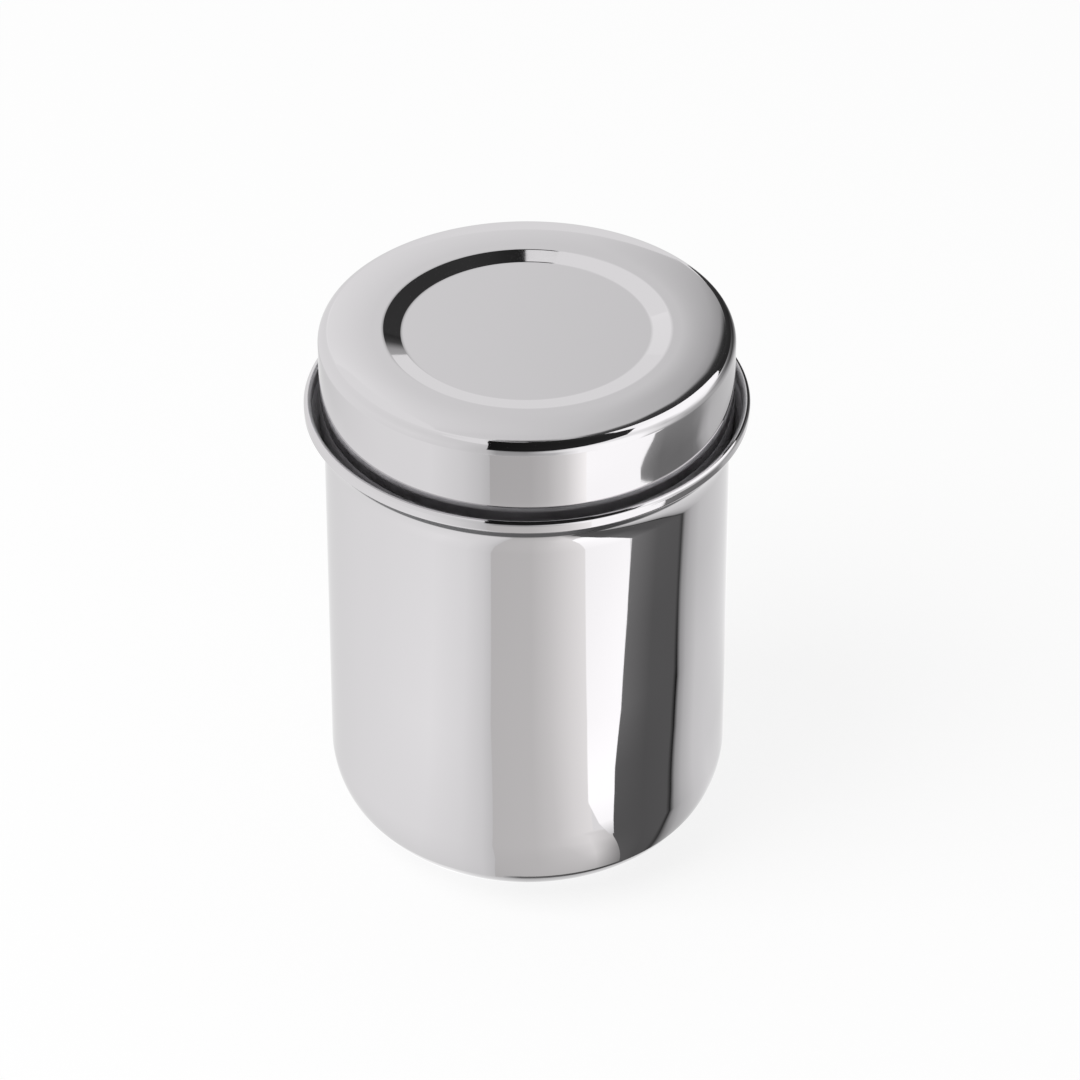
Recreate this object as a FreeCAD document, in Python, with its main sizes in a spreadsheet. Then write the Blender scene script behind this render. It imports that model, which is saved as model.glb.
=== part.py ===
"""Cotton jar: a round drawn steel jar with a hemmed rim, and a cap-shaped lid standing in it.

The frame has +Z up and its origin at the middle of the base, on the surface that the jar
stands on. Both pieces are one sheet of steel each. Each one is drawn as the outer face of
its sheet, revolved, rounded at its bends and then hollowed to the thickness of the sheet.
"""

import FreeCAD
import Part
import Sketcher
import os

OUT = "parts"
FULL_TURN = 360
NEAR = 1e-3

# Driving dimensions, in millimetres

SIZES = {
    "body_radius": (50.0, "outside of the straight wall"),
    "body_sheet": (0.6, "thickness of the jar's sheet"),
    "jar_height": (125.2, "base up to the top of the rim"),
    "corner_radius": (23.0, "outside bend between base and wall"),
    "standing_ring": (4.0, "flat ring that the jar stands on, across its width"),
    "base_slope_run": (5.0, "width of the slope from that ring up to the middle"),
    "base_rise": (1.0, "how far the middle of the base stands clear"),
    "base_bend": (3.0, "bend at each end of that slope"),
    "lip_step": (3.6, "how far the lip stands out from the wall"),
    "shoulder_depth": (7.65, "top of the rim down to the shoulder's lower corner"),
    "shoulder_rise": (4.1, "how far the shoulder climbs from the wall to the lip"),
    "shoulder_bend": (12.5, "outside bend from the wall out to the shoulder"),
    "lip_bend": (0.9, "outside bend from the shoulder up to the lip"),
    "hem_width": (1.8, "rolled hem, across"),
    "hem_height": (3.1, "rolled hem, top to bottom"),
    "hem_flat": (0.1, "flat left between the bends at the hem's top"),
    "hem_seam": (0.2, "open seam between the hem's cut edge and the lip"),
    "lid_gap": (2.0, "clearance all round between the lid and the lip"),
    "lid_seat_gap": (0.15, "clearance between the lid's edge and the shoulder"),
    "lid_sheet": (0.6, "thickness of the lid's sheet"),
    "lid_skirt_height": (25.1, "lid's cut edge up to the corner of its top"),
    "lid_edge_bend": (2.8, "outside bend between the skirt and the top"),
    "crown_width": (16.0, "raised border of the top, across its width"),
    "crown_slope": (0.105, "climb of that border's outer half, for each mm of its width"),
    "panel_slope_run": (5.4, "width of the slope down to the sunk panel"),
    "panel_depth": (0.9, "how far the panel lies below the border"),
    "panel_bend": (14.0, "bend at each end of that slope"),
    "edge_round": (0.2, "rounding of the lid's cut edge"),
}

# Heights and radii that follow from them, as expressions on the sheet

SLOPE_FOOT = "Sizes.body_radius - Sizes.corner_radius - Sizes.standing_ring"
SLOPE_TOP = f"{SLOPE_FOOT} - Sizes.base_slope_run"
LIP_RADIUS = "Sizes.body_radius + Sizes.lip_step"
SHOULDER_LOW = "Sizes.jar_height - Sizes.shoulder_depth"
SHOULDER_HIGH = f"{SHOULDER_LOW} + Sizes.shoulder_rise"
SHOULDER_LENGTH = "sqrt(Sizes.lip_step ^ 2 + Sizes.shoulder_rise ^ 2)"
HEM_FOOT = "Sizes.jar_height - Sizes.hem_height"
HEM_INSIDE = f"{LIP_RADIUS} - Sizes.body_sheet"
HEM_OUTSIDE = f"{HEM_INSIDE} + Sizes.hem_width"
HEM_BEND = "(Sizes.hem_width - Sizes.hem_flat) / 2"
LID_RADIUS = f"{HEM_INSIDE} - Sizes.lid_gap"

# The wall's bend starts below its corner by its radius times the tangent of half its turn

HALF_TURN_TAN = f"({SHOULDER_LENGTH} - Sizes.shoulder_rise) / Sizes.lip_step"
FLARE_FOOT = f"{SHOULDER_LOW} - Sizes.shoulder_bend * {HALF_TURN_TAN}"

# The lid stands on the inner face of that bend, at the lid's own radius

SEAT_BEND = "(Sizes.shoulder_bend + Sizes.body_sheet)"
SEAT_REACH = f"(Sizes.body_radius + Sizes.shoulder_bend - ({LID_RADIUS}))"
SEAT = f"{FLARE_FOOT} + sqrt({SEAT_BEND} ^ 2 - {SEAT_REACH} ^ 2)"
LID_FOOT = f"{SEAT} + Sizes.lid_seat_gap"
LID_CORNER = f"{LID_FOOT} + Sizes.lid_skirt_height"
CROWN_TOP = f"{LID_CORNER} + Sizes.crown_slope * Sizes.crown_width / 2"
CROWN_MIDDLE = f"{LID_RADIUS} - Sizes.crown_width / 2"
CROWN_TURN_TAN = "(sqrt(1 + Sizes.crown_slope ^ 2) - 1) / Sizes.crown_slope"
CROWN_BEND = f"(Sizes.crown_width / 2 - Sizes.lid_edge_bend) / ({CROWN_TURN_TAN})"
CROWN_RADIUS = f"{LID_RADIUS} - Sizes.crown_width"
PANEL_RADIUS = f"{CROWN_RADIUS} - Sizes.panel_slope_run"
PANEL_LEVEL = f"{CROWN_TOP} - Sizes.panel_depth"


def make_sheet(doc):
    """Write every driving dimension as a plain number with an alias of its own."""
    sheet = doc.addObject("Spreadsheet::Sheet", "Sizes")
    for row, (name, (value, note)) in enumerate(SIZES.items(), start=1):
        sheet.set(f"A{row}", name)
        sheet.set(f"B{row}", str(value))
        sheet.set(f"C{row}", note)
        sheet.setAlias(f"B{row}", name)
    doc.recompute()


def origin_feature(body, role):
    """Return one of the body's own origin planes or axes."""
    return next(f for f in body.Origin.OriginFeatures if f.Role == role)


def size(owner, expression):
    """Work out an expression from the sheet, in millimetres."""
    return float(owner.evalExpression(expression))


def draw_section(body, name, corners):
    """Sketch a closed outline whose corners are tied to (radius, height) expressions."""
    sketch = body.newObject("Sketcher::SketchObject", name)
    sketch.AttachmentSupport = [(origin_feature(body, "XZ_Plane"), "")]
    sketch.MapMode = "FlatFace"
    points = [FreeCAD.Vector(size(sketch, x), size(sketch, y), 0) for x, y in corners]
    count = len(points)
    for i, point in enumerate(points):
        sketch.addGeometry(Part.LineSegment(point, points[(i + 1) % count]), False)
    for i in range(count):
        follower = (i + 1) % count
        sketch.addConstraint(Sketcher.Constraint("Coincident", i, 2, follower, 1))
    for i, (corner, point) in enumerate(zip(corners, points)):
        tie_corner(sketch, i, corner, point)
    return sketch


def tie_corner(sketch, line, corner, point):
    """Tie a line's first end to its distances from the axis and from the base."""
    for kind, expression, distance in zip(("DistanceX", "DistanceY"), corner, point):
        constraint = Sketcher.Constraint(kind, -1, 1, line, 1, distance)
        index = sketch.addConstraint(constraint)
        sketch.setExpression(f"Constraints[{index}]", expression)


def revolve(body, kind, name, sketch):
    """Turn a section all the way round the upright axis."""
    feature = body.newObject(kind, name)
    feature.Profile = sketch
    feature.ReferenceAxis = (origin_feature(body, "Z_Axis"), [""])
    feature.Angle = FULL_TURN
    body.Document.recompute()
    return feature


def rings(feature, spots):
    """Name the round edges of a feature that pass through (radius, height) spots."""
    wanted = [(size(feature, x), size(feature, y)) for x, y in spots]
    names = []
    for number, edge in enumerate(feature.Shape.Edges, start=1):
        curve = edge.Curve
        if not isinstance(curve, Part.Circle):
            continue
        here = (curve.Radius, curve.Center.z)
        if any(max(abs(a - b) for a, b in zip(here, spot)) < NEAR for spot in wanted):
            names.append(f"Edge{number}")
    if len(names) < len(wanted):
        raise RuntimeError(f"{feature.Name}: {len(names)} of {len(wanted)} edges found")
    return names


def bend(body, name, spots, radius):
    """Round the edges at the given spots to one bend radius."""
    base = body.Tip
    fillet = body.newObject("PartDesign::Fillet", name)
    fillet.Base = (base, rings(base, spots))
    fillet.setExpression("Radius", radius)
    body.Document.recompute()
    return fillet


def hollow(body, name, height, thickness):
    """Open the flat face at one height and leave a sheet of even thickness inside."""
    base = body.Tip
    level = size(base, height)
    open_faces = []
    for number, face in enumerate(base.Shape.Faces, start=1):
        box = face.BoundBox
        if box.ZLength < NEAR and abs(box.ZMin - level) < NEAR:
            open_faces.append(f"Face{number}")
    shell = body.newObject("PartDesign::Thickness", name)
    shell.Base = (base, open_faces)
    shell.setExpression("Value", thickness)
    shell.Reversed = True
    shell.Join = "Intersection"
    body.Document.recompute()
    return shell


def make_body(doc, label):
    """Start a piece, with the label that names its file."""
    body = doc.addObject("PartDesign::Body", label)
    body.Label = label
    return body


def make_jar(doc):
    """Draw the jar: base, wall, shoulder and lip as one sheet, with a hem rolled at its top."""
    body = make_body(doc, "jar_body")
    wall = draw_section(
        body,
        "wall_outline",
        [
            ("0", "Sizes.base_rise"),
            (SLOPE_TOP, "Sizes.base_rise"),
            (SLOPE_FOOT, "0"),
            ("Sizes.body_radius", "0"),
            ("Sizes.body_radius", SHOULDER_LOW),
            (LIP_RADIUS, SHOULDER_HIGH),
            (LIP_RADIUS, "Sizes.jar_height"),
            ("0", "Sizes.jar_height"),
        ],
    )
    revolve(body, "PartDesign::Revolution", "drawn_cup", wall)
    bend(body, "base_corner", [("Sizes.body_radius", "0")], "Sizes.corner_radius")
    slope = [(SLOPE_TOP, "Sizes.base_rise"), (SLOPE_FOOT, "0")]
    bend(body, "base_slope_bends", slope, "Sizes.base_bend")
    bend(body, "shoulder_corner", [("Sizes.body_radius", SHOULDER_LOW)], "Sizes.shoulder_bend")
    bend(body, "lip_corner", [(LIP_RADIUS, SHOULDER_HIGH)], "Sizes.lip_bend")
    hollow(body, "cup_sheet", "Sizes.jar_height", "Sizes.body_sheet")
    roll_hem(body)
    return body


def roll_hem(body):
    """Roll the lip outward and down into a flattened hem with an open seam under it."""
    block = draw_section(
        body,
        "hem_outline",
        [
            (HEM_INSIDE, HEM_FOOT),
            (HEM_OUTSIDE, HEM_FOOT),
            (HEM_OUTSIDE, "Sizes.jar_height"),
            (HEM_INSIDE, "Sizes.jar_height"),
        ],
    )
    revolve(body, "PartDesign::Revolution", "hem_roll", block)
    inner_foot = f"{HEM_FOOT} + Sizes.body_sheet"
    inner_top = "Sizes.jar_height - Sizes.body_sheet"
    inner_outside = f"{HEM_OUTSIDE} - Sizes.body_sheet"
    seam = f"{LIP_RADIUS} + Sizes.hem_seam"
    hole = draw_section(
        body,
        "hem_hollow_outline",
        [
            (LIP_RADIUS, HEM_FOOT),
            (seam, HEM_FOOT),
            (seam, inner_foot),
            (inner_outside, inner_foot),
            (inner_outside, inner_top),
            (LIP_RADIUS, inner_top),
        ],
    )
    revolve(body, "PartDesign::Groove", "hem_hollow", hole)
    corners = [
        (HEM_INSIDE, "Sizes.jar_height"),
        (HEM_OUTSIDE, "Sizes.jar_height"),
        (HEM_OUTSIDE, HEM_FOOT),
    ]
    bend(body, "hem_bends", corners, HEM_BEND)


def make_lid(doc):
    """Draw the lid: a straight skirt, a crowned top and a sunk round panel, in one sheet."""
    body = make_body(doc, "lid")
    cap = draw_section(
        body,
        "cap_outline",
        [
            ("0", LID_FOOT),
            (LID_RADIUS, LID_FOOT),
            (LID_RADIUS, LID_CORNER),
            (CROWN_MIDDLE, CROWN_TOP),
            (CROWN_RADIUS, CROWN_TOP),
            (PANEL_RADIUS, PANEL_LEVEL),
            ("0", PANEL_LEVEL),
        ],
    )
    revolve(body, "PartDesign::Revolution", "drawn_cap", cap)
    bend(body, "lid_edge", [(LID_RADIUS, LID_CORNER)], "Sizes.lid_edge_bend")
    bend(body, "crown_dome", [(CROWN_MIDDLE, CROWN_TOP)], CROWN_BEND)
    panel = [(CROWN_RADIUS, CROWN_TOP), (PANEL_RADIUS, PANEL_LEVEL)]
    bend(body, "panel_bends", panel, "Sizes.panel_bend")
    hollow(body, "cap_sheet", LID_FOOT, "Sizes.lid_sheet")
    inside = f"{LID_RADIUS} - Sizes.lid_sheet"
    bend(body, "cut_edge", [(LID_RADIUS, LID_FOOT), (inside, LID_FOOT)], "Sizes.edge_round")
    return body


def check(doc, bodies):
    """Stop if any object failed, or if a piece isn't one closed solid."""
    for thing in doc.Objects:
        if "Invalid" in thing.State or "Error" in thing.State:
            raise RuntimeError(f"{thing.Name} failed: {thing.State}")
    for body in bodies:
        shape = body.Shape
        if shape.isNull() or not shape.isValid() or len(shape.Solids) != 1:
            raise RuntimeError(f"{body.Label} isn't one valid solid")


def main():
    doc = FreeCAD.newDocument("CottonJar")
    make_sheet(doc)
    bodies = [make_jar(doc), make_lid(doc)]
    doc.recompute()
    check(doc, bodies)
    os.makedirs(OUT, exist_ok=True)
    for body in bodies:
        body.Shape.exportStep(f"{OUT}/{body.Label}.step")
        box = body.Shape.optimalBoundingBox()
        print(f"{body.Label}: radius {box.XMax:.2f}, z {box.ZMin:.2f} to {box.ZMax:.2f}")
        print(f"  volume {body.Shape.Volume:.0f} mm3, faces {len(body.Shape.Faces)}")


main()
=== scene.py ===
# %% [markdown]
# A cotton jar from a hospital ward: a drawn steel jar with a rolled rim, and a loose cap that
# stands inside the rim. Both pieces are mirror polished, so most of what the eye sees is the
# room round them. The lesson has three parts: clean turned meshes that reflect without
# ripples, a polished metal with the small faults that a real one has, and a studio of cards
# that draws the bright and dark bands on the steel.

import bpy
import math
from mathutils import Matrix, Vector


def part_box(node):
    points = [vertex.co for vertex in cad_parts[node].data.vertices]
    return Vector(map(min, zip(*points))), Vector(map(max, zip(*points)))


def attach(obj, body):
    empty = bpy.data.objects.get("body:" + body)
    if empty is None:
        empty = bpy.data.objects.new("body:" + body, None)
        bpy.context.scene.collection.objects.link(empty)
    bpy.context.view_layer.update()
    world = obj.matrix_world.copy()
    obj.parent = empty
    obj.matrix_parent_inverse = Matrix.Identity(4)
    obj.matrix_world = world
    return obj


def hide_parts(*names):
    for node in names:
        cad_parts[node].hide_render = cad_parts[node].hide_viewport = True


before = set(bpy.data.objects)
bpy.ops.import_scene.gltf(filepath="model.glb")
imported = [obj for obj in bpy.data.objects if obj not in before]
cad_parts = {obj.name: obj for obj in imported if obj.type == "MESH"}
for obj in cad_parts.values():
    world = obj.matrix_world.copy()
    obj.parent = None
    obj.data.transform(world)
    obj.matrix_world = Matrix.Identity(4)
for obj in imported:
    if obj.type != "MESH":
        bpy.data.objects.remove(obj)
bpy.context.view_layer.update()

# %% [markdown]
# Every size below is in metres. The outside measures come from the frame, so the looks always
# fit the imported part. The smaller ones, such as the sheet's thickness and its bends, are
# written once here and used wherever the two pieces need them.

# %% Sizes
MM = 0.001

jar_low, jar_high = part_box("jar_body")
lid_low, lid_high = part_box("lid")
RIM_RADIUS = jar_high.x
JAR_HEIGHT = jar_high.z
LID_RADIUS = lid_high.x
LID_FOOT = lid_low.z

SHEET = 0.6 * MM
HEM_WIDTH = 1.8 * MM
HEM_HEIGHT = 3.1 * MM
HEM_SEAM = 0.2 * MM
HEM_BEND = 0.85 * MM
CUT_EDGE = 0.08 * MM

LIP_INSIDE = RIM_RADIUS - HEM_WIDTH
LIP_OUTSIDE = LIP_INSIDE + SHEET
LIP_STEP = 3.6 * MM
WALL_RADIUS = LIP_OUTSIDE - LIP_STEP
FLARE_DEPTH = 7.65 * MM
FLARE_RISE = 4.1 * MM
FLARE_LOW = JAR_HEIGHT - FLARE_DEPTH
FLARE_HIGH = FLARE_LOW + FLARE_RISE
FLARE_BEND = 12.5 * MM
LIP_BEND = 0.9 * MM
BASE_CORNER = 23 * MM
STANDING_RING = 4 * MM
BASE_SLOPE = 5 * MM
BASE_RISE = 1 * MM
BASE_BEND = 3 * MM
print(f"rim {2000 * RIM_RADIUS:.1f} mm across, wall {2000 * WALL_RADIUS:.1f} mm across")

# %% [markdown]
# Both pieces are round, so each is one section turned about the upright axis. A section is
# easiest to describe as a folded line: corners, and how softly each one is bent. A polished
# surface shows the smallest dent in its mesh, so the bends are true arcs, and each point
# keeps its exact normal. Smooth shading alone would average the normals of long and short
# faces, and the reflections would swim beside every bend.

# %% Bend the corners of a section
ARC_STEP = math.radians(4)


def unit(a, b):
    """The direction from one section point to the next."""
    run, rise = b[0] - a[0], b[1] - a[1]
    length = math.hypot(run, rise)
    return run / length, rise / length


def facing(direction):
    """The side of a stretch that faces away from the sheet."""
    return direction[1], -direction[0]


def bent(corners):
    """Turn (radius, height, bend) corners into points, each with its exact normal."""
    first, last = corners[0], corners[-1]
    points = [(first[:2], facing(unit(first, corners[1])))]
    for before, corner, after in zip(corners, corners[1:], corners[2:]):
        into, out = unit(before, corner), unit(corner, after)
        turn = math.atan2(into[0] * out[1] - into[1] * out[0], into[0] * out[0] + into[1] * out[1])
        back = corner[2] * abs(math.tan(turn / 2))
        side = math.copysign(corner[2], turn)
        normal = facing(into)
        centre = (
            corner[0] - into[0] * back - normal[0] * side,
            corner[1] - into[1] * back - normal[1] * side,
        )
        steps = max(2, math.ceil(abs(turn) / ARC_STEP))
        for i in range(steps + 1):
            angle = turn * i / steps
            away = (
                normal[0] * math.cos(angle) - normal[1] * math.sin(angle),
                normal[0] * math.sin(angle) + normal[1] * math.cos(angle),
            )
            points.append(((centre[0] + away[0] * side, centre[1] + away[1] * side), away))
    points.append((last[:2], facing(unit(corners[-2], last))))
    return points


# %% [markdown]
# A drawn piece has the same thickness everywhere, so its inside is its outside moved in by
# one sheet. On a bend that closes round the sheet the inner arc is smaller, and on a bend
# that opens away from it the inner arc is larger, as on a folded card.

# %% Move a section in by one sheet
def inner_face(corners):
    """The other face of the sheet, as corners that run the opposite way."""
    moved = []
    for i, corner in enumerate(corners):
        before = corners[max(i - 1, 0)]
        after = corners[min(i + 1, len(corners) - 1)]
        into = unit(before, corner) if i else unit(corner, after)
        out = unit(corner, after) if i < len(corners) - 1 else into
        a, b = facing(into), facing(out)
        share = SHEET / (1 + a[0] * b[0] + a[1] * b[1])
        closing = into[0] * out[1] - into[1] * out[0] > 0
        bend = corner[2] + (-SHEET if closing else SHEET)
        moved.append((corner[0] - share * (a[0] + b[0]), corner[1] - share * (a[1] + b[1]), bend))
    return moved[::-1]


# %% [markdown]
# The turning itself could be Blender's Screw modifier, but that works its own normals out
# again and welds the middle badly. A short function that lays rings of points keeps one
# vertex at the axis, gives every ring its exact normals, and lets each stretch of the section
# have its own finish.

# %% Turn a section into a mesh
TURN_STEPS = 256


def turned(name, points, finishes, body, node):
    """Turn section points into a closed mesh that stands for one CAD node."""
    vertices, normals, rings = [], [], []
    for (radius, height), normal in points:
        count = TURN_STEPS if radius > CUT_EDGE else 1
        ring = []
        for i in range(count):
            angle = 2 * math.pi * i / TURN_STEPS
            ring.append(len(vertices))
            vertices.append((radius * math.cos(angle), radius * math.sin(angle), height))
            normals.append((normal[0] * math.cos(angle), normal[0] * math.sin(angle), normal[1]))
        rings.append(ring)
    faces, owners = [], []
    for number, (low, high) in enumerate(zip(rings, rings[1:])):
        for i in range(TURN_STEPS):
            follower = (i + 1) % TURN_STEPS
            corners = [low[i % len(low)], low[follower % len(low)]]
            corners += [high[follower % len(high)], high[i % len(high)]]
            faces.append(list(dict.fromkeys(corners)))
            owners.append(number)
    mesh = bpy.data.meshes.new(name)
    mesh.from_pydata(vertices, [], faces)
    mesh.polygons.foreach_set("use_smooth", [True] * len(faces))
    mesh.normals_split_custom_set_from_vertices(normals)
    piece = bpy.data.objects.new(name, mesh)
    bpy.context.scene.collection.objects.link(piece)
    used = list(dict.fromkeys(finishes))
    for material in used:
        mesh.materials.append(material)
    mesh.polygons.foreach_set("material_index", [used.index(finishes[n]) for n in owners])
    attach(piece, body)
    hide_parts(node)
    print(f"{name}: {len(vertices)} points, {len(faces)} faces")


# %% [markdown]
# Colours are written as they look on a screen, as sRGB hex values, and one function turns
# them into the linear light that shaders work in. One more small function adds a node to a
# material, sets its inputs and makes its links, so that a material reads as a short recipe.

# %% Colour and node helpers
def colour(code):
    """Turn an sRGB hex colour into linear red, green, blue and a full alpha."""
    levels = [int(code[i:i + 2], 16) / 255 for i in (1, 3, 5)]
    return [((v + 0.055) / 1.055) ** 2.4 if v > 0.04045 else v / 12.92 for v in levels] + [1]


def add(tree, kind, inputs=None, **settings):
    """Add one node: settings are its own fields, inputs are values or sockets to link."""
    node = tree.nodes.new(kind)
    for name, value in settings.items():
        setattr(node, name, value)
    for name, value in (inputs or {}).items():
        if isinstance(value, bpy.types.NodeSocket):
            tree.links.new(value, node.inputs[name])
        else:
            node.inputs[name].default_value = value
    return node


def new_material(name):
    """Start a material with only its output, and return it with its node tree."""
    material = bpy.data.materials.new(name)
    material.use_nodes = True
    material.node_tree.nodes.clear()
    return material, material.node_tree


# %% [markdown]
# The real metal is stainless steel sheet, drawn to shape and polished on a buffing wheel
# until it works as a mirror. The eye reads three things in it: a clean neutral grey, long soft
# waves that the drawing left in the wall, and a very fine haze of polishing lines that run
# round the piece. The waves are 9 mm long and about a hundredth of a millimetre deep. The
# polishing lines are finer than the picture can show, so they are drawn 0.35 mm apart. A
# plain low roughness would also look like metal, but too clean, like a computer's chrome.

# %% Polished steel
WAVE_LENGTH = 9 * MM
WAVE_DEPTH = 0.012 * MM
LINE_SPACING = 0.35 * MM
LINE_DEPTH = 0.00012 * MM
HAZE_LENGTH = 14 * MM
HAZE_CHANGE = 0.3


def polished_steel(name, stretch, roughness, tone="#d7d5d7", waves=WAVE_DEPTH):
    """Mirror-polished stainless steel. Stretch flattens the waves along X, Y and Z."""
    material, tree = new_material(name)
    place = add(tree, "ShaderNodeTexCoord").outputs["Object"]
    flat = add(tree, "ShaderNodeMapping", {"Vector": place, "Scale": stretch}).outputs["Vector"]
    swell = add(tree, "ShaderNodeTexNoise", {
        "Vector": flat, "Scale": 1 / WAVE_LENGTH, "Detail": 1.0, "Roughness": 0.4})
    split = add(tree, "ShaderNodeSeparateXYZ", {"Vector": place})
    across = add(tree, "ShaderNodeVectorMath", {
        0: place, 1: (1, 1, 0)}, operation="MULTIPLY").outputs["Vector"]
    radius = add(tree, "ShaderNodeVectorMath", {0: across}, operation="LENGTH").outputs["Value"]
    along = add(tree, "ShaderNodeMath", {0: radius, 1: split.outputs["Z"]}, operation="ADD")
    lines = add(tree, "ShaderNodeTexNoise", {
        "W": along.outputs["Value"], "Scale": 1 / LINE_SPACING, "Detail": 3.0},
        noise_dimensions="1D")
    haze = add(tree, "ShaderNodeTexNoise", {
        "Vector": place, "Scale": 1 / HAZE_LENGTH, "Detail": 4.0})
    rough = add(tree, "ShaderNodeMapRange", {
        "Value": haze.outputs["Fac"], "From Min": 0.3, "From Max": 0.7,
        "To Min": roughness * (1 - HAZE_CHANGE), "To Max": roughness * (1 + HAZE_CHANGE)})
    soft = add(tree, "ShaderNodeBump", {
        "Height": swell.outputs["Fac"], "Strength": 1.0, "Distance": waves})
    fine = add(tree, "ShaderNodeBump", {
        "Height": lines.outputs["Fac"], "Strength": 1.0, "Distance": LINE_DEPTH,
        "Normal": soft.outputs["Normal"]})
    shader = add(tree, "ShaderNodeBsdfPrincipled", {
        "Base Color": colour(tone), "Metallic": 1.0, "Specular Tint": colour("#ececec"),
        "Roughness": rough.outputs["Result"], "Normal": fine.outputs["Normal"]})
    add(tree, "ShaderNodeOutputMaterial", {"Surface": shader.outputs["BSDF"]})
    return material


# %% [markdown]
# The same steel looks different where the wheel could and couldn't reach. The outside is a
# mirror. On the wall the waves are drawn out long and upright, because the sheet was pulled
# that way, and on the lid they are even and shallower. The inside has a satin haze, since
# only a small mop fits in. The steel inside the rim was never polished, so it is rougher and
# scatters the light, and its tone is set a little darker, which is painted shade that keeps
# the gap round the lid a soft dark grey. Under the hem, where the sheet was rolled, it is
# duller still, and its tone is a dark grey, which is painted shade: it draws the thin dark
# line below the rim.

# %% Five finishes of one steel
WALL_STRETCH = (1, 1, 0.06)
TOP_STRETCH = (1, 1, 1)
outside_steel = polished_steel("polished_stainless_wall", WALL_STRETCH, 0.035)
lid_steel = polished_steel("polished_stainless_lid", TOP_STRETCH, 0.035, waves=WAVE_DEPTH / 2)
inside_steel = polished_steel("satin_stainless_inside", WALL_STRETCH, 0.3, "#e2e2e2")
# The darker tone of this finish is painted shade for the gap round the lid; its roughness is the
# unpolished finish.
rim_steel_with_painted_shade = polished_steel("dull_stainless_with_painted_shade_in_the_rim", WALL_STRETCH, 0.6, "#c8c8ca")
# The dark tone of this finish is painted shade: the thin dark line under the hem.
seam_steel_with_painted_shade = polished_steel("unpolished_stainless_with_painted_shade_under_the_hem", WALL_STRETCH, 0.4, "#6c6c6e")
finishes = (outside_steel, lid_steel, inside_steel, rim_steel_with_painted_shade, seam_steel_with_painted_shade)
print("steel:", [material.name for material in finishes])

# %% [markdown]
# The jar's outer face runs from the middle of the base, which is raised so that the jar
# stands on a ring, round the broad corner and up the wall. At the top the wall flares out in
# one long bend, which carries the lid, and turns up into the lip.

# %% The jar's sheet
slope_foot = WALL_RADIUS - BASE_CORNER - STANDING_RING
jar_outside = [
    (0, BASE_RISE, 0),
    (slope_foot - BASE_SLOPE, BASE_RISE, BASE_BEND),
    (slope_foot, 0, BASE_BEND),
    (WALL_RADIUS, 0, BASE_CORNER),
    (WALL_RADIUS, FLARE_LOW, FLARE_BEND),
    (LIP_OUTSIDE, FLARE_HIGH, LIP_BEND),
    (LIP_OUTSIDE, JAR_HEIGHT - SHEET, HEM_BEND - SHEET),
]

# %% [markdown]
# The hem is the most skilful part of the jar. The lip is rolled outward and down, then
# pressed flat, so that the hand never meets a cut edge. The roll is hollow, and its seam
# stays open underneath, against the lip. Each stretch of the section gets its finish from the
# way it faces: what looks down steeply under the hem gets the dull steel with the dark tone,
# which is painted shade.

# %% The rolled hem
hem_foot = JAR_HEIGHT - HEM_HEIGHT
seam = LIP_OUTSIDE + HEM_SEAM
hem = [
    (RIM_RADIUS - SHEET, JAR_HEIGHT - SHEET, HEM_BEND - SHEET),
    (RIM_RADIUS - SHEET, hem_foot + SHEET, HEM_BEND - SHEET),
    (seam, hem_foot + SHEET, CUT_EDGE),
    (seam, hem_foot, CUT_EDGE),
    (RIM_RADIUS, hem_foot, HEM_BEND),
    (RIM_RADIUS, JAR_HEIGHT, HEM_BEND),
    (LIP_INSIDE, JAR_HEIGHT, HEM_BEND),
]
# Outer faces under the hem that look down more steeply than this get the painted shade of the dark
# seam steel.
PAINTED_SHADE_UNDER_HEM = -0.515
jar_inside = inner_face(jar_outside)[1:]
outside_count = len(bent(jar_outside + hem))
jar_points = bent(jar_outside + hem + jar_inside)
jar_finishes = []
# Inner faces outside the wall's radius, in the gap round the lid, get the rim steel, whose darker
# tone is painted shade.
for number, ((radius, height), normal) in enumerate(jar_points[1:]):
    if number >= outside_count:
        jar_finishes.append(rim_steel_with_painted_shade if radius > WALL_RADIUS else inside_steel)
    elif normal[1] < PAINTED_SHADE_UNDER_HEM and height > FLARE_LOW:
        jar_finishes.append(seam_steel_with_painted_shade)
    else:
        jar_finishes.append(outside_steel)
turned("jar_body_turned", jar_points, jar_finishes, "jar", "jar_body")

# %% [markdown]
# The lid is a cap drawn from one more sheet. Its skirt is straight, its top climbs a little
# towards the middle and a round panel is pressed down into it, which stiffens the top and
# lets the jars be stacked. It has no knob: the hand takes it by the skirt.

# %% The lid
EDGE_BEND = 2.8 * MM
CROWN_WIDTH = 16 * MM
CROWN_CLIMB = 0.105
CROWN_RISE = CROWN_CLIMB * CROWN_WIDTH / 2
CROWN_BEND = 99.32 * MM
PANEL_EDGE = 35.3 * MM
PANEL_SLOPE = 4.8 * MM
PANEL_DEPTH = 0.97 * MM
PANEL_BEND = 4 * MM
LID_EDGE_ROUND = 0.2 * MM
SKIRT_HEIGHT = 25.1 * MM
FACES_AXIS = -0.5
FACES_DOWN = -0.3
LID_CORNER = LID_FOOT + SKIRT_HEIGHT

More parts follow.
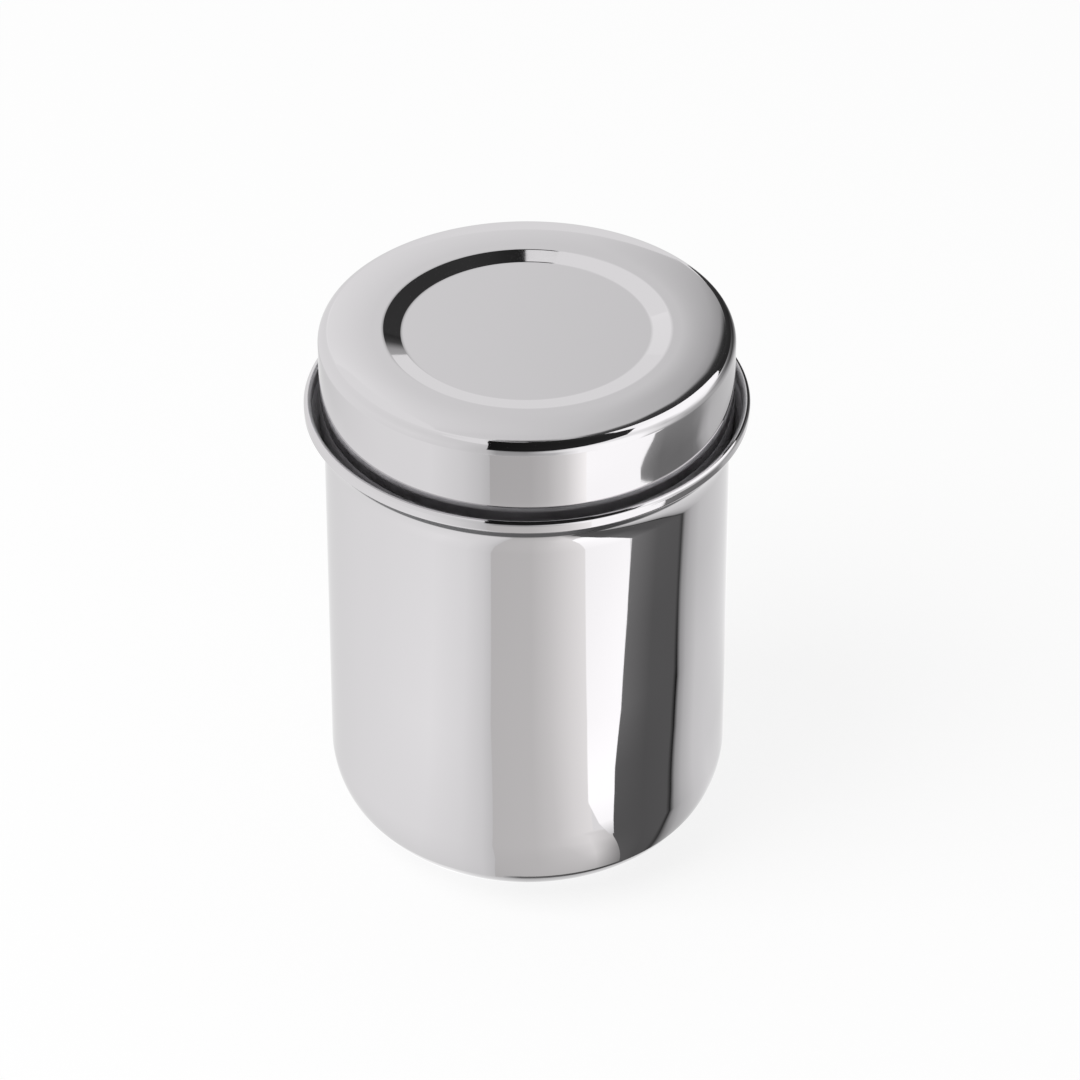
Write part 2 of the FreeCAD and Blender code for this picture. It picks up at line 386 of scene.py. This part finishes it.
crown_top = LID_CORNER + CROWN_RISE
lid_outside = [
    (LID_RADIUS, LID_FOOT, LID_EDGE_ROUND),
    (LID_RADIUS, LID_CORNER, EDGE_BEND),
    (LID_RADIUS - CROWN_WIDTH / 2, crown_top, CROWN_BEND),
    (PANEL_EDGE, crown_top, PANEL_BEND),
    (PANEL_EDGE - PANEL_SLOPE, crown_top - PANEL_DEPTH, PANEL_BEND),
    (0, crown_top - PANEL_DEPTH, 0),
]
under = inner_face(lid_outside)
under[-1] = (under[-1][0], LID_FOOT, LID_EDGE_ROUND)
lid_points = bent(under + lid_outside)
lid_finishes = []
for (radius, height), normal in lid_points[1:]:
    inside = normal[0] < FACES_AXIS or normal[1] < FACES_DOWN
    lid_finishes.append(inside_steel if inside else lid_steel)
turned("lid_turned", lid_points, lid_finishes, "cover", "lid")

# %% [markdown]
# The stage is a white table that runs on to the horizon. It shows itself as plain white to
# the camera with only the jar's soft shadow on it. The steel doesn't see it: the jar was
# polished to reflect a whole room, and the room is made of cards further down.

# %% Floor
FLOOR_SIZE = 12
FLOOR_DROP = 0.02 * MM
SHADOW_SHARE = 0.25

floor_mesh = bpy.data.meshes.new("floor")
half = FLOOR_SIZE / 2
floor_mesh.from_pydata(
    [(-half, -half, -FLOOR_DROP), (half, -half, -FLOOR_DROP), (half, half, -FLOOR_DROP),
     (-half, half, -FLOOR_DROP)], [], [(0, 1, 2, 3)])
floor = bpy.data.objects.new("floor", floor_mesh)
bpy.context.scene.collection.objects.link(floor)

floor_paint, tree = new_material("white_table")
ray = add(tree, "ShaderNodeLightPath")
matt = add(tree, "ShaderNodeBsdfDiffuse", {"Color": colour("#f2f2f2")})
glow = add(tree, "ShaderNodeEmission", {"Color": colour("#ffffff"), "Strength": 1.06})
share = add(tree, "ShaderNodeMath", {
    0: ray.outputs["Is Camera Ray"], 1: 1 - SHADOW_SHARE}, operation="MULTIPLY")
blend = add(tree, "ShaderNodeMixShader", {
    "Fac": share.outputs["Value"], 1: matt.outputs["BSDF"], 2: glow.outputs["Emission"]})
add(tree, "ShaderNodeOutputMaterial", {"Surface": blend.outputs["Shader"]})
floor_mesh.materials.append(floor_paint)
floor.visible_glossy = False
print("floor:", FLOOR_SIZE, "m wide")

# %% [markdown]
# A photographer sets white cards and black flags round a shiny thing, and what shows on the
# steel is their shapes. The wall is upright and the camera looks down, so the wall mirrors
# the table within a hand's width of the jar, and the lid's edge mirrors the room above. So
# there are three kinds of card: flat ones on the table, ones that hang round the jar, and
# ones that lean over it. Angles go round from the camera's side, positive to the right. Cards
# that overlap have layers, so that the nearer one covers the other without flicker.

# %% Where a card can hang
ROOM = 4
ROOM_LAYER = 0.1
TABLE_LAYER = 0.003 * MM
TABLE_DROP = 0.018 * MM
CELL_STEPS = 6
FAR_LEFT, FAR_RIGHT = -180, 180


def on_table(layer):
    """Places on the table: a distance from the jar's axis in mm, and an angle round it."""
    height = TABLE_LAYER * layer - TABLE_DROP

    def place(distance, around):
        turn = math.radians(around)
        return distance * MM * math.sin(turn), -distance * MM * math.cos(turn), height
    return place


def in_room(layer):
    """Places round the jar: an angle above the table, and an angle round it."""
    reach = ROOM - ROOM_LAYER * layer

    def place(above, around):
        rise, turn = math.radians(above), math.radians(around)
        level = reach * math.cos(rise)
        return level * math.sin(turn), -level * math.cos(turn), reach * math.sin(rise)
    return place


def overhead(layer):
    """Places over the jar: an angle up from the camera's side and on over, and one sideways."""
    reach = ROOM - ROOM_LAYER * layer

    def place(over, sideways):
        rise, turn = math.radians(over), math.radians(sideways)
        level = reach * math.cos(turn)
        return reach * math.sin(turn), -level * math.cos(rise), level * math.sin(rise)
    return place


# %% [markdown]
# A card is a few rows of stops, each an angle and a brightness there, and everything between
# the stops is blended. The brightness is stored in the card's own points, so one material
# serves every card. Only reflections see the cards: they throw no light and no shadow, so the
# floor and its soft shadow stay as plain as in a catalogue.

# %% Hang a card
def card_paint():
    """Light that is as bright as the card's own shade at that spot."""
    material, tree = new_material("card_light")
    shade = add(tree, "ShaderNodeAttribute", attribute_name="shade")
    light = add(tree, "ShaderNodeEmission", {"Color": shade.outputs["Color"], "Strength": 1.0})
    add(tree, "ShaderNodeOutputMaterial", {"Surface": light.outputs["Emission"]})
    material.cycles.emission_sampling = "NONE"
    return material


CARD_LIGHT = card_paint()


def between(a, b, share):
    """The value at a share of the way from one to the other."""
    return a + (b - a) * share


def card(name, place, rows, warm=0.0):
    """Hang one card. Each row is a distance or height, and its (angle, brightness) stops."""
    tint = (1 + warm, 1, 1 - warm, 1)
    vertices, values, faces = [], [], []
    for (low, low_stops), (high, high_stops) in zip(rows, rows[1:]):
        cells = zip(low_stops, low_stops[1:], high_stops, high_stops[1:])
        for a, b, c, d in cells:
            first = len(vertices)
            for j in range(CELL_STEPS + 1):
                for i in range(CELL_STEPS + 1):
                    t, u = i / CELL_STEPS, j / CELL_STEPS
                    around = between(between(a[0], b[0], t), between(c[0], d[0], t), u)
                    level = between(between(a[1], b[1], t), between(c[1], d[1], t), u)
                    vertices.append(place(between(low, high, u), around))
                    values += [level * part for part in tint[:3]] + [1]
            for j in range(CELL_STEPS):
                for i in range(CELL_STEPS):
                    at = first + j * (CELL_STEPS + 1) + i
                    faces.append((at, at + 1, at + CELL_STEPS + 2, at + CELL_STEPS + 1))
    mesh = bpy.data.meshes.new(name)
    mesh.from_pydata(vertices, [], faces)
    shade = mesh.attributes.new("shade", "FLOAT_COLOR", "POINT")
    shade.data.foreach_set("color", values)
    mesh.materials.append(CARD_LIGHT)
    board = bpy.data.objects.new(name, mesh)
    bpy.context.scene.collection.objects.link(board)
    board.visible_camera = False
    board.visible_diffuse = False
    board.visible_shadow = False


# %% [markdown]
# The table is light on the left and a warmer grey straight in front, where the camera stands
# in the way of the light. The wall shows it up to about 200 mm from the jar, and the lid's
# skirt shows what lies beyond. The change between the two is the soft edge left of the middle.

# %% The table on the left and in front
card("table_left", on_table(0), [
    (43, [(FAR_LEFT, 1.0), (-80, 1.02), (-42, 0.96), (-25, 0.9), (-16, 0.84), (-9, 0.66)]),
    (120, [(FAR_LEFT, 1.0), (-80, 1.02), (-47, 1.07), (-30, 0.98), (-21, 0.86), (-14, 0.68)]),
    (212, [(FAR_LEFT, 1.0), (-80, 1.0), (-48, 1.03), (-31, 0.97), (-22, 0.86), (-15, 0.7)]),
    (229, [(FAR_LEFT, 0.84), (-80, 0.97), (-49, 0.98), (-32, 0.87), (-23, 0.76), (-15, 0.6)]),
    (330, [(FAR_LEFT, 0.86), (-80, 1.0), (-49, 1.0), (-32, 0.86), (-23, 0.74), (-15, 0.6)])])
card("table_front", on_table(1), [
    (43, [(-12, 0.62), (4, 0.66), (20, 0.68), (26, 0.6), (38, 0.2)]),
    (60, [(-12, 0.64), (4, 0.66), (20, 0.78), (26, 0.9), (38, 0.25)]),
    (80, [(-14, 0.66), (3, 0.69), (12, 0.78), (25.3, 1.0), (37, 0.7)]),
    (82, [(-14, 0.66), (3, 0.69), (12, 0.78), (20, 0.95), (27, 1.05)]),
    (130, [(-17, 0.66), (2, 0.68), (10, 0.78), (20, 0.95), (28.5, 1.08)]),
    (212, [(-18, 0.64), (2, 0.66), (10, 0.76), (20, 0.92), (30, 1.08)]),
    (229, [(-18, 0.64), (2, 0.66), (10, 0.74), (19, 0.9), (30.5, 1.25)]),
    (234, [(-18, 0.56), (2, 0.57), (10, 0.65), (19, 0.86), (30.5, 1.36)]),
    (330, [(-19, 0.53), (2, 0.54), (10, 0.62), (19, 0.86), (31, 1.38)])], warm=0.012)
print("table: left and front")

# %% [markdown]
# On the right the table fades from dark to bright, towards the window. Where the fade meets
# the black flag there is a thin line of full black, which makes the flag's edge look crisp.

# %% The fade on the right
card("right_fade", on_table(0), [
    (43, [(46, 0.05), (50, 0.06), (54, 0.3), (60, 0.56),
          (75, 0.8), (92, 1.1), (FAR_RIGHT, 1.0)]),
    (60, [(53, 0.03), (57, 0.04), (60.5, 0.38), (66, 0.58),
          (76, 0.8), (90, 1.0), (FAR_RIGHT, 1.0)]),
    (80, [(62, 0.01), (66, 0.02), (68.5, 0.42), (73, 0.62),
          (82, 0.82), (93, 0.9), (FAR_RIGHT, 1.05)]),
    (104, [(70, 0.01), (74, 0.01), (76.5, 0.42), (81, 0.62),
           (90, 0.82), (101, 0.88), (FAR_RIGHT, 1.3)]),
    (124, [(75, 0.01), (79, 0.01), (81.5, 0.42), (86, 0.62),
           (95, 0.82), (106, 0.88), (FAR_RIGHT, 1.35)]),
    (162, [(80, 0.02), (83.5, 0.05), (86, 0.4), (90.5, 0.58),
           (99.5, 0.74), (111, 0.82), (FAR_RIGHT, 1.35)]),
    (202, [(86, 0.03), (89, 0.05), (92, 0.4), (97, 0.58),
           (105, 0.74), (117, 0.84), (FAR_RIGHT, 1.3)]),
    (210, [(94, 0.2), (104, 0.28), (109, 0.54), (116, 0.6),
           (125, 0.62), (140, 0.6), (FAR_RIGHT, 1.0)]),
    (220, [(94, 0.22), (99, 0.27), (104, 0.52), (110, 0.66),
           (121, 0.7), (133, 0.76), (FAR_RIGHT, 1.0)]),
    (226, [(92, 0.21), (96.5, 0.26), (101.5, 0.5), (109, 0.66),
           (121, 0.7), (133, 0.77), (FAR_RIGHT, 1.0)]),
    (231, [(92, 0.21), (97.5, 0.27), (103, 0.48), (110, 0.64),
           (121, 0.7), (133, 0.77), (FAR_RIGHT, 1.0)]),
    (237, [(92, 0.25), (101, 0.34), (107, 0.5), (112, 0.6),
           (122, 0.68), (133, 0.75), (FAR_RIGHT, 1.0)]),
    (330, [(92, 0.3), (103, 0.36), (108, 0.48), (114, 0.56),
           (124, 0.64), (135, 0.75), (FAR_RIGHT, 1.0)])])
print("table: right")

# %% [markdown]
# A black flag and a white card lie side by side, and both are wedges that widen further out.
# Their edges draw the long lines on the wall, which lean a little. A mirror with a black bar
# beside a white one is what tells the eye that this is polished metal.

# %% The black flag and the white card
card("black_flag", on_table(2), [
    (43, [(36, 0.14), (41, 0.11), (46, 0.11), (50, 0.06)]),
    (60, [(35.5, 0.13), (46, 0.11), (54.5, 0.12), (57, 0.03)]),
    (80, [(35, 0.12), (50, 0.11), (63.5, 0.12), (66, 0.02)]),
    (104, [(40, 0.14), (56, 0.11), (71.5, 0.12), (74, 0.01)]),
    (128, [(45.3, 0.2), (61, 0.12), (77, 0.12), (79.5, 0.01)]),
    (162, [(50, 0.2), (66, 0.12), (81.5, 0.12), (83.5, 0.05)]),
    (206, [(55, 0.24), (72, 0.14), (87, 0.13), (89.5, 0.06)]),
    (213, [(55, 0.27), (74, 0.22), (88, 0.21), (95, 0.21)]),
    (231, [(57, 0.28), (70, 0.2), (84, 0.2), (94, 0.23)]),
    (237, [(58, 0.32), (71, 0.2), (86, 0.23), (94, 0.26)]),
    (243, [(60, 0.36), (74, 0.24), (88, 0.26), (94, 0.28)]),
    (250, [(62, 0.42), (76, 0.3), (90, 0.3), (94, 0.3)]),
    (330, [(66, 0.5), (78, 0.34), (90, 0.32), (94, 0.31)])])
card("white_card", on_table(3), [
    (78, [(34, 0.8), (35.5, 0.8)]),
    (84, [(30, 1.4), (36.5, 1.4)]),
    (94, [(26.3, 1.5), (38.5, 1.5)]),
    (104, [(26.9, 1.5), (40, 1.5)]),
    (128, [(28, 1.4), (45.3, 1.46)]),
    (168, [(28.7, 1.34), (50.8, 1.44)]),
    (194, [(29, 1.3), (53.4, 1.4)]),
    (206, [(29.1, 1.3), (53.6, 1.38)]),
    (210, [(29.2, 1.34), (56, 1.38)]),
    (217, [(29.3, 1.38), (61, 1.38)]),
    (222, [(29.3, 1.36), (67.5, 1.38)]),
    (225.5, [(29.3, 1.36), (66, 1.38)]),
    (228.5, [(29.4, 1.36), (61.5, 1.38)]),
    (231, [(29.4, 1.36), (58.7, 1.38)]),
    (236, [(29.4, 1.36), (58.7, 1.38)]),
    (241, [(29.5, 1.38), (61.3, 1.38)]),
    (246, [(29.5, 1.4), (66, 1.38)]),
    (252, [(29.6, 1.4), (70, 1.38)]),
    (330, [(29.8, 1.4), (73, 1.38)])])
print("table: black flag and white card")

# %% [markdown]
# Close to the foot the table is bright, which lights the round corner of the base, with one
# thin dark line, a painted shadow of the jar on the table close to its foot.

# %% The table at the foot
card("bright_foot", on_table(4), [
    (22, [(FAR_LEFT, 0.9), (-78, 1.0), (-30, 1.3), (0, 1.2),
          (39, 1.1), (63, 0.5), (FAR_RIGHT, 0.6)]),
    (36, [(FAR_LEFT, 0.95), (-78, 1.1), (-30, 1.42), (0, 1.1),
          (39, 1.2), (63, 0.7), (FAR_RIGHT, 0.8)]),
    (43, [(FAR_LEFT, 1.0), (-78, 1.3), (-30, 1.1), (0, 0.6),
          (39, 0.8), (63, 1.1), (FAR_RIGHT, 1.0)])])
# A painted shadow: a thin dark ring on the table under the round corner of the base, seen only in
# the steel.
card("painted_foot_shadow", on_table(5), [
    (42.8, [(-9, 0.6), (-3, 0.3), (24, 0.1), (38, 0.12)]),
    (44.8, [(-9, 0.62), (-3, 0.1), (24, 0.1), (38, 0.12)])])
print("table: foot and painted foot shadow")

# %% [markdown]
# Above the table the room is light on the left and dim on the camera's side, where the
# photographer stands. On the right there is a white wall and a tall window, and its upper part
# shows as the thin white line along the front right of the lid's edge.

# %% The room and the window
card("left_room", in_room(0), [
    (-24, [(-163, 1.1), (-90, 0.96), (-60, 0.93), (-37, 0.87), (-20, 0.72)]),
    (20, [(-160, 0.98), (-90, 0.97), (-60, 0.97), (-37, 0.88), (-20, 0.7)]),
    (70, [(-155, 0.95), (-90, 0.9), (-60, 0.85), (-37, 0.8), (-20, 0.7)])])
card("front_dim", in_room(1), [
    (-24, [(-20, 0.72), (-15, 0.5), (0, 0.54), (14, 0.66), (26, 1.25)]),
    (0, [(-20, 0.7), (-15, 0.43), (0, 0.43), (14, 0.62), (26, 1.25)]),
    (14, [(-20, 0.7), (-15, 0.43), (0, 0.4), (13, 0.95), (26, 1.3)]),
    (30, [(-20, 0.65), (-15, 0.25), (0, 0.2), (15, 0.6), (26, 1.2)])])
card("right_room", in_room(1), [
    (-24, [(26, 1.3), (40, 1.4), (60, 1.4), (66, 0.5), (76, 0.37),
           (106, 0.46), (125, 0.53), (150, 0.76), (165, 0.5)]),
    (-10, [(26, 1.3), (40, 1.4), (60, 1.4), (66, 1.1), (73, 0.9),
           (88, 0.51), (102, 0.54), (136, 0.4), (160, 0.1)]),
    (3, [(26, 1.3), (40, 1.4), (60, 1.4), (66, 1.1), (73, 0.9),
         (87, 0.63), (100, 0.6), (133, 0.05), (155, 0.03)]),
    (15, [(26, 1.3), (40, 1.4), (56, 1.4), (66, 1.1), (75, 0.72),
          (87, 0.75), (104, 1.2), (118, 0.3), (155, 0.02)]),
    (24, [(26, 1.3), (40, 1.35), (56, 1.3), (66, 1.0), (77, 0.85),
          (92, 1.25), (112, 1.35), (122, 1.2), (128, 0.1)])])
card("high_window", in_room(1), [
    (24, [(26, 1.3), (60, 1.2), (78, 0.85), (92, 1.25), (122.5, 1.3)]),
    (30, [(26, 1.2), (60, 1.1), (80, 0.9), (92, 1.35), (130, 1.4)]),
    (40, [(26, 1.0), (60, 1.1), (80, 1.2), (92, 1.4), (146, 1.4)]),
    (46, [(26, 0.9), (60, 1.1), (78, 1.4), (92, 1.4), (156, 1.4)]),
    (52, [(26, 0.9), (60, 1.1), (78, 1.4), (92, 1.4), (165, 1.35)]),
    (60, [(26, 0.9), (60, 1.1), (78, 1.4), (92, 1.4), (167, 1.3)]),
    (72, [(26, 0.9), (60, 1.1), (78, 1.3), (92, 1.3), (158, 1.2)])])
print("room: left, front, right and window")

# %% [markdown]
# The top of the lid looks up at the far side of the room. It fades from light to grey towards
# the right and then stops at a black flag, which gives the lid its dark right border and the
# dark arc in the panel's slope. A second flag leans right over the jar. Its lower edge is the
# black line that follows the front of the lid's edge.

# %% The far side and the flags overhead
card("flag_right", in_room(0), [
    (-20, [(120, 0.2), (150, 0.1), (160, 0.06), (167, 0.1)]),
    (18, [(110, 0.03), (150, 0.03), (160, 0.03), (167.5, 0.05)]),
    (24, [(60, 0.03), (120, 0.03), (150, 0.03), (168.8, 0.045)]),
    (39, [(60, 0.03), (120, 0.03), (150, 0.03), (170, 0.045)]),
    (45, [(60, 0.03), (120, 0.03), (150, 0.03), (174, 0.045)]),
    (50, [(60, 0.03), (120, 0.03), (150, 0.03), (178.5, 0.045)]),
    (74, [(60, 0.03), (120, 0.03), (150, 0.03), (170, 0.045)])])
card("far_fade", in_room(2), [
    (26, [(168.5, 0.03), (169.3, 0.08), (170, 0.42), (172, 0.66),
          (175, 0.8), (178, 0.9), (197, 1.12)]),
    (35, [(168.5, 0.02), (169.3, 0.05), (170.1, 0.42), (172, 0.53),
          (175, 0.66), (178, 0.81), (197, 1.12)]),
    (39, [(168.5, 0.03), (169.2, 0.06), (170.1, 0.43), (172, 0.56),
          (175, 0.64), (178, 0.78), (190, 1.05)]),
    (42.5, [(169, 0.03), (170.5, 0.07), (171.1, 0.6), (173, 0.63),
            (175, 0.68), (178, 0.78), (188, 1.0)]),
    (45.5, [(170, 0.03), (172.5, 0.07), (173.2, 0.7), (175, 0.7),
            (176.5, 0.73), (178, 0.78), (187, 0.95)]),
    (47, [(172, 0.04), (174.4, 0.08), (175, 0.72), (176.5, 0.75),
          (178, 0.77), (179, 0.78), (187, 0.9)]),
    (48.4, [(174, 0.04), (176.6, 0.05), (177.3, 0.7), (178, 0.76),
            (179, 0.8), (180, 0.82), (187, 0.9)])])
card("flag_overhead", overhead(2), [
    (26, [(-19, 0.03), (3, 0.03)]),
    (28.8, [(-18.5, 0.02), (13, 0.02)]),
    (38.5, [(-17.3, 0.01), (26, 0.02)]),
    (49, [(-15.9, 0.01), (33.3, 0.03)]),
    (65, [(-13.4, 0.01), (38.6, 0.03)]),
    (81, [(-10.6, 0.01), (33, 0.03)]),
    (99.5, [(-7.4, 0.01), (24.3, 0.03)]),
    (109, [(-5.6, 0.01), (14, 0.03)]),
    (120.8, [(-3.6, 0.02), (7.7, 0.04)]),
    (121.2, [(0, 0.02), (7.5, 0.04)]),
    (124.2, [(0, 0.02), (5.9, 0.04)]),
    (124.6, [(-2.9, 0.02), (5.7, 0.04)]),
    (131.6, [(-1.7, 0.02), (5.2, 0.045)])])
print("room: far side and flags")

# %% [markdown]
# The light itself stays plain: a pale sky all round and one wide soft lamp above the left
# shoulder, which gives the jar its shadow. The lamp is hidden from the steel, since the
# cards stand for what the steel sees.

# %% Light and sky
world = bpy.data.worlds.new("pale_studio")
bpy.context.scene.world = world
world.use_nodes = True
tree = world.node_tree
tree.nodes.clear()
ray = add(tree, "ShaderNodeLightPath")
plain = add(tree, "ShaderNodeBackground", {"Color": colour("#ffffff"), "Strength": 0.55})
seen = add(tree, "ShaderNodeBackground", {"Color": colour("#ffffff"), "Strength": 1.0})
eye = add(tree, "ShaderNodeMath", {
    0: ray.outputs["Is Camera Ray"], 1: ray.outputs["Is Glossy Ray"]}, operation="MAXIMUM")
both = add(tree, "ShaderNodeMath", {
    0: eye.outputs["Value"], 1: ray.outputs["Is Transmission Ray"]}, operation="MAXIMUM")
sky = add(tree, "ShaderNodeMixShader", {
    "Fac": both.outputs["Value"], 1: plain.outputs["Background"], 2: seen.outputs["Background"]})
add(tree, "ShaderNodeOutputWorld", {"Surface": sky.outputs["Shader"]})

lamp_data = bpy.data.lights.new("softbox", "AREA")
lamp_data.shape = "SQUARE"
lamp_data.size = 1.6
lamp_data.energy = 28
lamp = bpy.data.objects.new("softbox", lamp_data)
lamp.location = (-1.2, -0.8, 2.0)
lamp.rotation_euler = (math.radians(24), math.radians(-31), 0)
lamp.visible_glossy = False
lamp.visible_camera = False
bpy.context.scene.collection.objects.link(lamp)
print("lamp:", lamp_data.energy, "W")

# %% [markdown]
# The camera looks down at the jar from about 35 degrees, from far away with a long lens, so
# that the rim and the base look almost equally wide.

# %% Camera
CAMERA_TILT = 35.518
CAMERA_DISTANCE = 1.3780
LENS = 183.76
SENSOR = 36
AIM = (3.18 * MM, 0, 81.5 * MM)

tilt = math.radians(CAMERA_TILT)
camera_data = bpy.data.cameras.new("camera")
camera_data.sensor_width = SENSOR
camera_data.lens = LENS
camera = bpy.data.objects.new("camera", camera_data)
camera.location = (
    AIM[0],
    AIM[1] - CAMERA_DISTANCE * math.cos(tilt),
    AIM[2] + CAMERA_DISTANCE * math.sin(tilt))
camera.rotation_euler = (math.pi / 2 - tilt, 0, 0)
bpy.context.scene.collection.objects.link(camera)
bpy.context.scene.camera = camera
bpy.context.scene.view_settings.view_transform = "Standard"
print("camera at", [round(v, 3) for v in camera.location])
